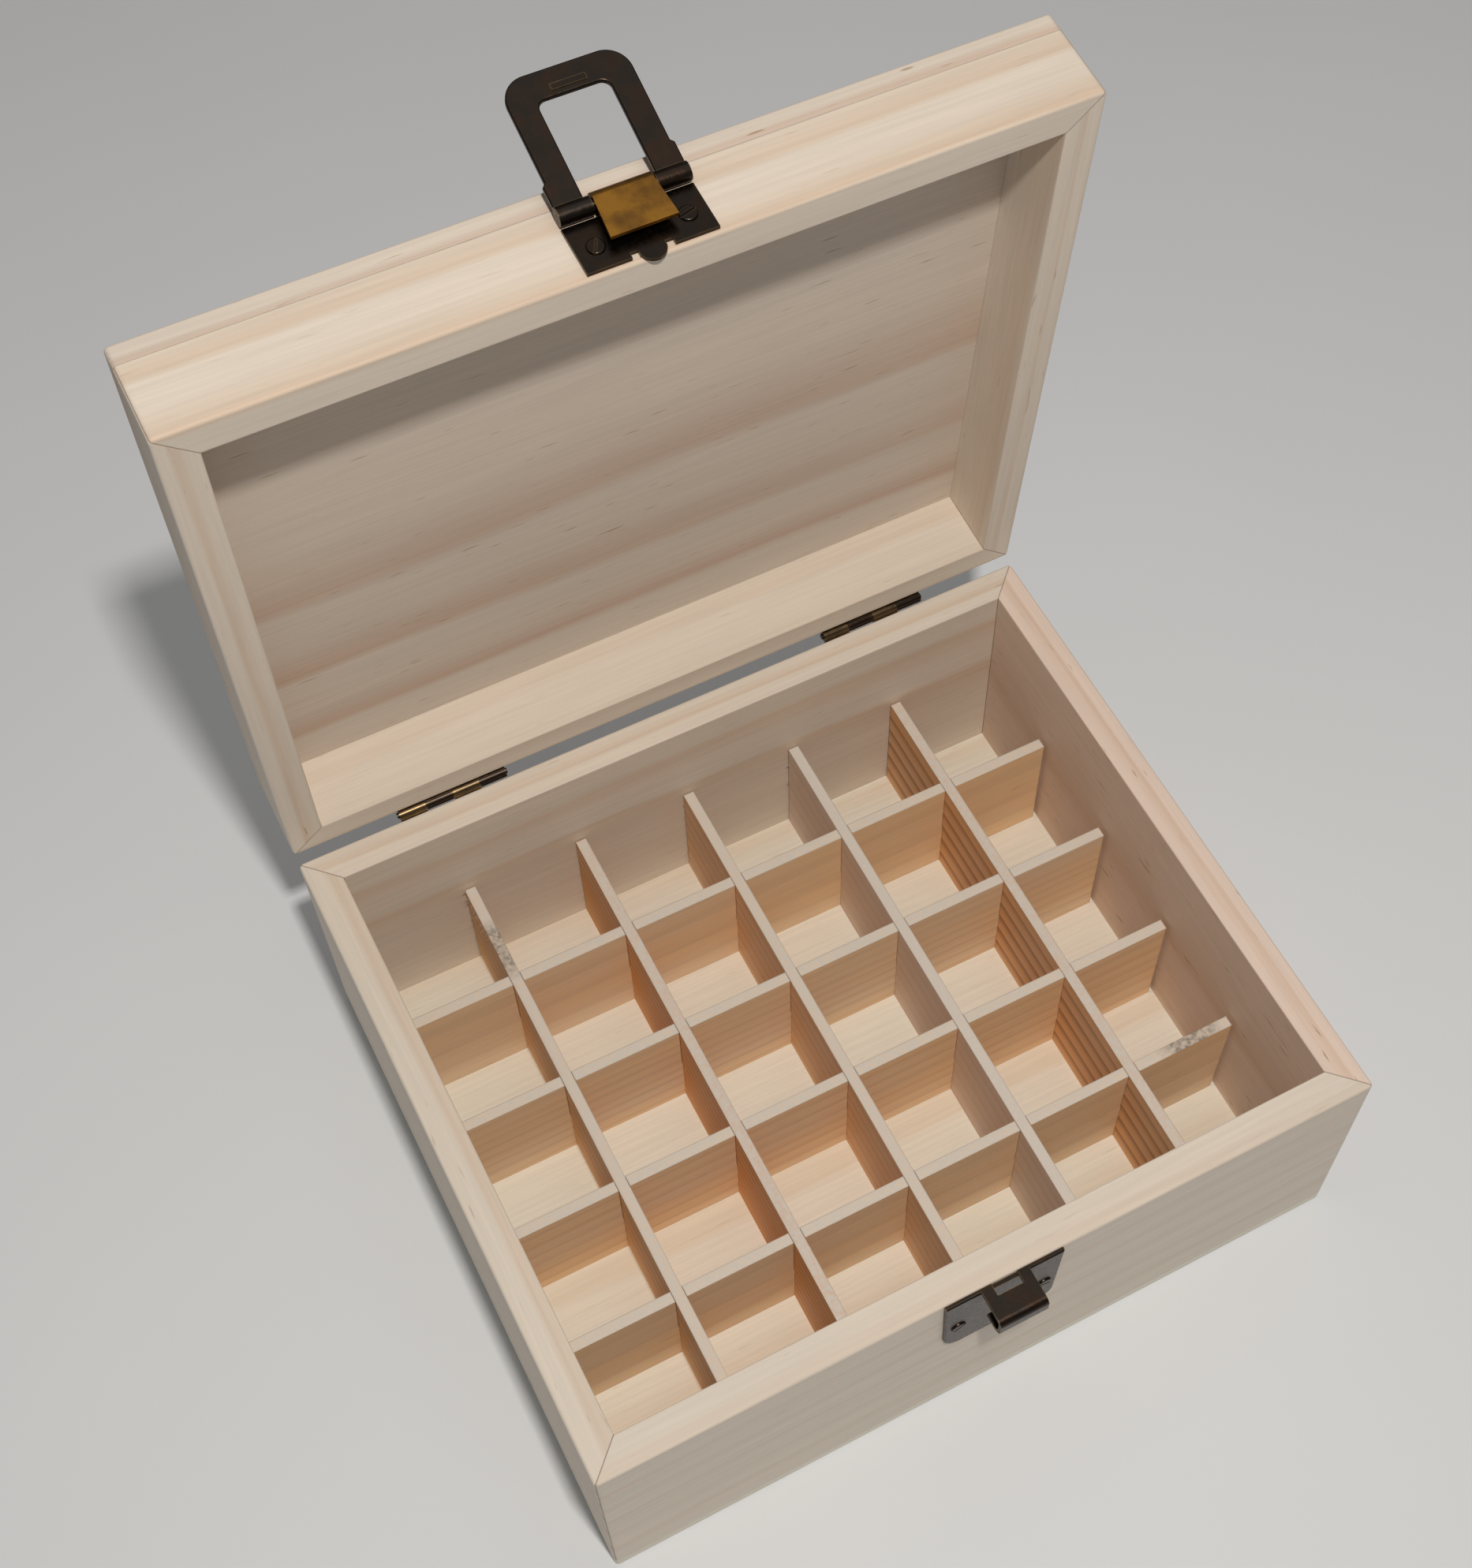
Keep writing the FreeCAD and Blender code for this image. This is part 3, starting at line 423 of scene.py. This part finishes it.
def bronze(name, wear, brass_highlight_all_over=0.0, golden_front=None):
    """Bronze plating on stamped steel: nearly black and glossy, brown in patches, brass on rubbed edges.

    The share of brass over the whole piece is a painted highlight that makes the piece look lit, and
    golden_front is the place in front of the lid past which the piece turns gold: partly rubbed brass, partly
    a painted reflection of the nearby wood."""
    looks = bpy.context.scene.bronze_looks
    material, tree = new_surface(name)
    place = add(tree, "TexCoord", output="Object")
    patches = add(tree, "TexNoise", {"Vector": place, "Scale": 1 / looks.patch_size, "Detail": 4.0})
    thin = add(tree, "MapRange", {"Value": patches, **THIN_PLATING})
    metal = add(tree, "MixRGB", {"Fac": thin, "Color1": rgba(looks.dark), "Color2": rgba(looks.brown)})

    # A rubbed edge is where a slightly rounded copy of the surface turns away from the true one
    rounded = add(tree, "Bevel", {"Radius": looks.edge_width}, samples=6)
    flat = add(tree, "NewGeometry", output="Normal")
    along = add(tree, "VectorMath", {0: rounded, 1: flat}, "Value", operation="DOT_PRODUCT")
    # Brass shows on rubbed edges, and the share given for the whole piece is a painted highlight
    worn_and_highlit = add(tree, "MapRange", {"Value": along, **RUBBED_EDGE, "To Min": brass_highlight_all_over, "To Max": wear})
    broken = add(tree, "Math", {0: worn_and_highlit, 1: patches}, operation="MULTIPLY")
    metal = add(tree, "MixRGB", {"Fac": broken, "Color1": metal, "Color2": rgba(looks.brass)})
    # Past golden_front the piece turns gold: partly rubbed brass, partly a painted reflection of the nearby
    # wood
    if golden_front is not None:
        depth = add(tree, "SeparateXYZ", {"Vector": on_shut_lid(tree, place)}, "Y")
        front = add(tree, "MapRange", {"Value": depth, "From Min": golden_front,
                                       "From Max": golden_front - GOLD_FADE})
        gold_and_reflection = add(tree, "MixRGB", {"Fac": thin, "Color1": rgba(looks.gold_and_reflection), "Color2": rgba(looks.brown)})
        metal = add(tree, "MixRGB", {"Fac": front, "Color1": metal, "Color2": gold_and_reflection})

    scratches = add(tree, "TexNoise", {"Vector": place, "Scale": 1 / looks.scratch_size, "Detail": 3.0})
    gloss = add(tree, "MapRange", {"Value": scratches, "To Min": looks.roughness - 0.12,
                                   "To Max": looks.roughness + 0.16})
    relief = add(tree, "Bump", {"Height": patches, "Strength": 0.15, "Distance": PLATING_RELIEF})
    surface = add(tree, "BsdfPrincipled", {"Base Color": metal, "Metallic": 1.0, "Roughness": gloss,
                                           "Normal": relief})
    add(tree, "OutputMaterial", {"Surface": surface})
    return material


def finish_board(node_name, board, process, **options):
    """Gives a board its own piece of pine."""
    dress(node_name, pine(f"pine_{process}_{node_name}", board, **options))


# One operator for each group of like pieces
class PINEBOX_OT_walls(bpy.types.Operator):
    """Finish the four mitred walls of the box"""

    bl_idname = "pinebox.walls"
    bl_label = "Box walls"

    def execute(self, context):
        streaks = {"left_wall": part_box("left_wall")[0].x + context.scene.pine_looks.amber_inset}
        for node_name, board in WALLS.items():
            finish_board(node_name, board, "planed", mitred=True, amber_at=streaks.get(node_name))
        return {"FINISHED"}


class PINEBOX_OT_floor_panel(bpy.types.Operator):
    """Finish the panel under the walls"""

    bl_idname = "pinebox.floor_panel"
    bl_label = "Floor panel"

    def execute(self, context):
        finish_board("bottom_panel", FLOOR_PANEL, "planed")
        return {"FINISHED"}


SMUDGE_PAST_CROSSING = 8 * MM
SMUDGE_FROM_END = 12 * MM


class PINEBOX_OT_dividers(bpy.types.Operator):
    """Finish the sawn strips of the divider grid"""

    bl_idname = "pinebox.dividers"
    bl_label = "Divider strips"

    def execute(self, context):
        strips = {**LONG_DIVIDERS, **SHORT_DIVIDERS}
        top = max(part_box(node_name)[1].z for node_name in strips)
        smudges = self.smudges(top)
        for node_name, board in strips.items():
            finish_board(node_name, board, "sawn", sawn_above=top, smudged_at=smudges.get(node_name))
        return {"FINISHED"}

    def smudges(self, top):
        """The middles of the grey smudges on the sawn edges of two strips."""
        short_middle = sum(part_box("short_divider_1"), Vector()) / 2
        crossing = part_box("long_divider_1")[1].y
        long_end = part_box("long_divider_4")[1]
        return {
            "short_divider_1": (short_middle.x, crossing + SMUDGE_PAST_CROSSING, top),
            "long_divider_4": (long_end.x - SMUDGE_FROM_END, long_end.y, top),
        }


FIBRE_SEED = 11
FIBRE_BEND = 0.12
FIBRE_FROM_END = 0.2 * MM
FIBRE_ROOTED = 0.1 * MM


def torn_fibre(build, root, tip, thickness):
    """Adds a thin bent spike from its root to its tip."""
    half = thickness / 2
    feet = ((0, -half, -half), (0, half, -half), (0, 0, half))
    lift = Vector((0, 0, FIBRE_BEND * (tip - root).length))
    base = [build.verts.new(root + Vector(foot)) for foot in feet]
    middle = [build.verts.new((corner.co + tip) / 2 + lift) for corner in base]
    point = build.verts.new(tip)
    build.faces.new(reversed(base))
    for side in range(3):
        after = (side + 1) % 3
        build.faces.new((base[side], base[after], middle[after], middle[side]))
        build.faces.new((middle[side], middle[after], point))


class PINEBOX_OT_splinters(bpy.types.Operator):
    """Add torn fibres to the back ends of the short strips, most of them along the edge of the ragged one"""

    bl_idname = "pinebox.splinters"
    bl_label = "Torn fibres"

    def execute(self, context):
        sizes = context.scene.splinter_sizes
        chance = random.Random(FIBRE_SEED)
        mesh = bpy.data.meshes.new("torn_fibres")
        build = bmesh.new()
        for node_name in SHORT_DIVIDERS:
            low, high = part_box(node_name)
            ragged = node_name == "short_divider_1"
            run = sizes.ragged_run if ragged else sizes.end_run
            drop = sizes.ragged_depth if ragged else high.z - low.z - sizes.clear_below
            for _ in range(sizes.ragged_count if ragged else sizes.per_end):
                back = high.y - chance.uniform(FIBRE_FROM_END, run)
                root = Vector((low.x + FIBRE_ROOTED, back, high.z - chance.uniform(sizes.clear_above, drop)))
                reach = sizes.longest * chance.uniform(0.35, 1.0)
                # Fibres lean out to the left, mostly forward and down
                aim = Vector((-0.55, chance.uniform(-0.5, 0.1), chance.uniform(-0.8, 0.4)))
                torn_fibre(build, root, root + reach * aim, sizes.thickness)
        build.to_mesh(mesh)
        build.free()
        fibres = bpy.data.objects.new("torn_fibres", mesh)
        context.scene.collection.objects.link(fibres)
        mesh.materials.append(pine("pine_torn_fibres", SHORT_DIVIDERS["short_divider_4"]))
        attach(fibres, "divider_grid")
        return {"FINISHED"}


class PINEBOX_OT_lid_rails(bpy.types.Operator):
    """Finish the four mitred rails of the lid"""

    bl_idname = "pinebox.lid_rails"
    bl_label = "Lid rails"

    def execute(self, context):
        for node_name, board in LID_RAILS.items():
            finish_board(node_name, board, "planed", on_lid=True, mitred=True)
        return {"FINISHED"}


class PINEBOX_OT_lid_panel(bpy.types.Operator):
    """Finish the panel of the lid"""

    bl_idname = "pinebox.lid_panel"
    bl_label = "Lid panel"

    def execute(self, context):
        finish_board("lid_top_panel", LID_PANEL, "planed", on_lid=True)
        return {"FINISHED"}


class PINEBOX_OT_hinges(bpy.types.Operator):
    """Finish the leaves, pins and screws of the two hinges"""

    bl_idname = "pinebox.hinges"
    bl_label = "Hinges"

    def execute(self, context):
        # The brass over the whole box leaf is a painted highlight, and its fuller brass edges are partly wear
        # and partly painted highlight, so its knuckles look lit beside the darker lid leaf
        worn_and_highlit = bronze("bronze_plated_box_leaf", 1.0, brass_highlight_all_over=0.5)
        dark = bronze("bronze_plated_lid_leaf", 0.45)
        screw = bronze("bronze_plated_hinge_screw", 0.6)
        for side in ("left", "right"):
            dress(f"{side}_hinge_box_leaf", worn_and_highlit)
            dress(f"{side}_hinge_lid_leaf", dark)
            dress(f"{side}_hinge_pin", screw)
        dress("hinge_box_screws", screw)
        dress("hinge_lid_screws", screw)
        return {"FINISHED"}


class PINEBOX_OT_catch(bpy.types.Operator):
    """Finish the catch on the box and its screws"""

    bl_idname = "pinebox.catch"
    bl_label = "Catch"

    def execute(self, context):
        dress("catch_plate", bronze("bronze_plated_catch", 0.8))
        dress("catch_screws", bronze("bronze_plated_catch_screw", 0.4))
        return {"FINISHED"}


# The hasp plate's flap is what stands further off the lid than its sheet is thick
FLAP_STANDS_OFF = 1.0 * MM


class PINEBOX_OT_latch(bpy.types.Operator):
    """Finish the hasp plate on the lid, its screws and its loop"""

    bl_idname = "pinebox.latch"
    bl_label = "Latch"

    def execute(self, context):
        # The flap in front of this place is painted gold: partly rubbed brass, partly a painted reflection of
        # the wood
        flap_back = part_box("front_wall")[0].y - FLAP_STANDS_OFF
        dress("latch_plate", bronze("bronze_plated_hasp", 0.6, golden_front=flap_back))
        dress("latch_screws", bronze("bronze_plated_hasp_screw", 0.4))
        dress("latch_loop", bronze("bronze_plated_loop", 0.7))
        return {"FINISHED"}


# Camera of the photograph, worked out from the box's edges: its place in metres, its facing in degrees, and
# its focal length and the shift of its centre in pixels of a 1866 by 1988 image
IMAGE_HEIGHT = 1988
CAMERA_PLACE = (-0.12577, -0.23015, 0.58386)
CAMERA_ANGLES = (30.6926, -1.7107, -28.4001)
FOCAL_PIXELS = 3017.3
CENTRE_OFF_AXIS = (-189.6, 52.7)
# The render shows slightly more than the photograph, so that the whole box is in it
FRAMING = 0.988

# place and size in metres; power: the property that holds its power
Lamp = namedtuple("Lamp", "place size power colour")
LAMPS = {
    "key_light": Lamp((-0.07, -0.3, 0.9), 0.04, "key_power", "#FFF8F0"),
    "top_light": Lamp((0.2, 0.35, 1.5), 1.2, "top_power", "#FFFFFF"),
}
LAMPS_AIM = (0, 0, 0.08)
FLOOR_HALF_WIDTH = 4.0
FLOOR_GAP = 0.2 * MM


class PINEBOX_OT_stage(bpy.types.Operator):
    """Set the floor, the lights and the camera"""

    bl_idname = "pinebox.stage"
    bl_label = "Stage"

    def execute(self, context):
        looks = context.scene.stage_looks
        self.lay_floor(context, looks)
        for name, lamp in LAMPS.items():
            self.hang_lamp(context, name, lamp, getattr(looks, lamp.power))
        world = bpy.data.worlds.new("studio_sky")
        world.use_nodes = True
        sky = world.node_tree.nodes["Background"].inputs
        sky["Color"].default_value = rgba(looks.sky_colour)
        sky["Strength"].default_value = looks.sky
        context.scene.world = world
        context.scene.view_settings.view_transform = "Standard"
        self.set_camera(context)
        return {"FINISHED"}

    def lay_floor(self, context, looks):
        """A wide pale floor just under the box."""
        mesh = bpy.data.meshes.new("floor")
        build = bmesh.new()
        bmesh.ops.create_grid(build, x_segments=4, y_segments=4, size=FLOOR_HALF_WIDTH)
        build.to_mesh(mesh)
        build.free()
        floor = bpy.data.objects.new("floor", mesh)
        floor.location.z = CAD_BOX[0][2] - FLOOR_GAP
        context.scene.collection.objects.link(floor)
        # Matt paper takes soft shadows and hardly shines
        material, tree = new_surface("matt_paper_floor")
        place = add(tree, "TexCoord", output="Object")
        cloud = add(tree, "TexNoise", {"Vector": place, "Scale": 1 / looks.cloud_size})
        tone = add(tree, "MapRange", {"Value": cloud, "To Min": 0.97, "To Max": 1.03})
        pale = add(tree, "VectorMath", {0: looks.floor, "Scale": tone}, operation="SCALE")
        surface = add(tree, "BsdfPrincipled", {"Base Color": pale, "Roughness": 0.8})
        add(tree, "OutputMaterial", {"Surface": surface})
        mesh.materials.append(material)

    def hang_lamp(self, context, name, lamp, watts):
        """A square soft light that faces the box."""
        light = bpy.data.lights.new(name, "AREA")
        light.energy = watts
        light.size = lamp.size
        light.color = linear(lamp.colour)
        holder = bpy.data.objects.new(name, light)
        holder.location = lamp.place
        holder.visible_camera = False
        aim = Vector(LAMPS_AIM) - Vector(lamp.place)
        holder.rotation_euler = aim.to_track_quat("-Z", "Y").to_euler()
        context.scene.collection.objects.link(holder)

    def set_camera(self, context):
        """The camera that took the photograph, a little wider so that the whole box shows."""
        lens = bpy.data.cameras.new("photo_camera")
        lens.sensor_fit = "VERTICAL"
        lens.sensor_height = 36.0
        scale = FRAMING / IMAGE_HEIGHT
        lens.lens = FOCAL_PIXELS * scale * lens.sensor_height
        lens.shift_x = CENTRE_OFF_AXIS[0] * scale
        lens.shift_y = CENTRE_OFF_AXIS[1] * scale
        lens.clip_start = 0.01
        camera = bpy.data.objects.new("photo_camera", lens)
        camera.location = CAMERA_PLACE
        camera.rotation_euler = [math.radians(angle) for angle in CAMERA_ANGLES]
        context.scene.collection.objects.link(camera)
        context.scene.camera = camera


class PINEBOX_PT_panel(bpy.types.Panel):
    """Lists the looks and the steps that finish the box"""

    bl_idname = "PINEBOX_PT_panel"
    bl_label = "Pine box"
    bl_space_type = "VIEW_3D"
    bl_region_type = "UI"
    bl_category = "Pine box"

    def draw(self, context):
        for name, kind in LOOKS.items():
            box = self.layout.box()
            for field in kind.__annotations__:
                box.prop(getattr(context.scene, name), field)
        for step in STEPS:
            self.layout.operator(step.bl_idname)


LOOKS = {
    "pine_looks": PineLooks,
    "bronze_looks": BronzeLooks,
    "stage_looks": StageLooks,
    "splinter_sizes": SplinterSizes,
}
STEPS = (
    PINEBOX_OT_walls,
    PINEBOX_OT_floor_panel,
    PINEBOX_OT_dividers,
    PINEBOX_OT_splinters,
    PINEBOX_OT_lid_rails,
    PINEBOX_OT_lid_panel,
    PINEBOX_OT_hinges,
    PINEBOX_OT_catch,
    PINEBOX_OT_latch,
    PINEBOX_OT_stage,
)


def register():
    """Makes the looks, the steps and the panel known to Blender."""
    for name, kind in LOOKS.items():
        bpy.utils.register_class(kind)
        setattr(bpy.types.Scene, name, PointerProperty(type=kind))
    for step in STEPS:
        bpy.utils.register_class(step)
    bpy.utils.register_class(PINEBOX_PT_panel)


def unregister():
    """Takes them all out again."""
    bpy.utils.unregister_class(PINEBOX_PT_panel)
    for step in reversed(STEPS):
        bpy.utils.unregister_class(step)
    for name, kind in LOOKS.items():
        delattr(bpy.types.Scene, name)
        bpy.utils.unregister_class(kind)


def main():
    """Finishes every piece in turn."""
    register()
    for step in STEPS:
        group, name = step.bl_idname.split(".")
        getattr(getattr(bpy.ops, group), name)()


if __name__ == "__main__":
    main()
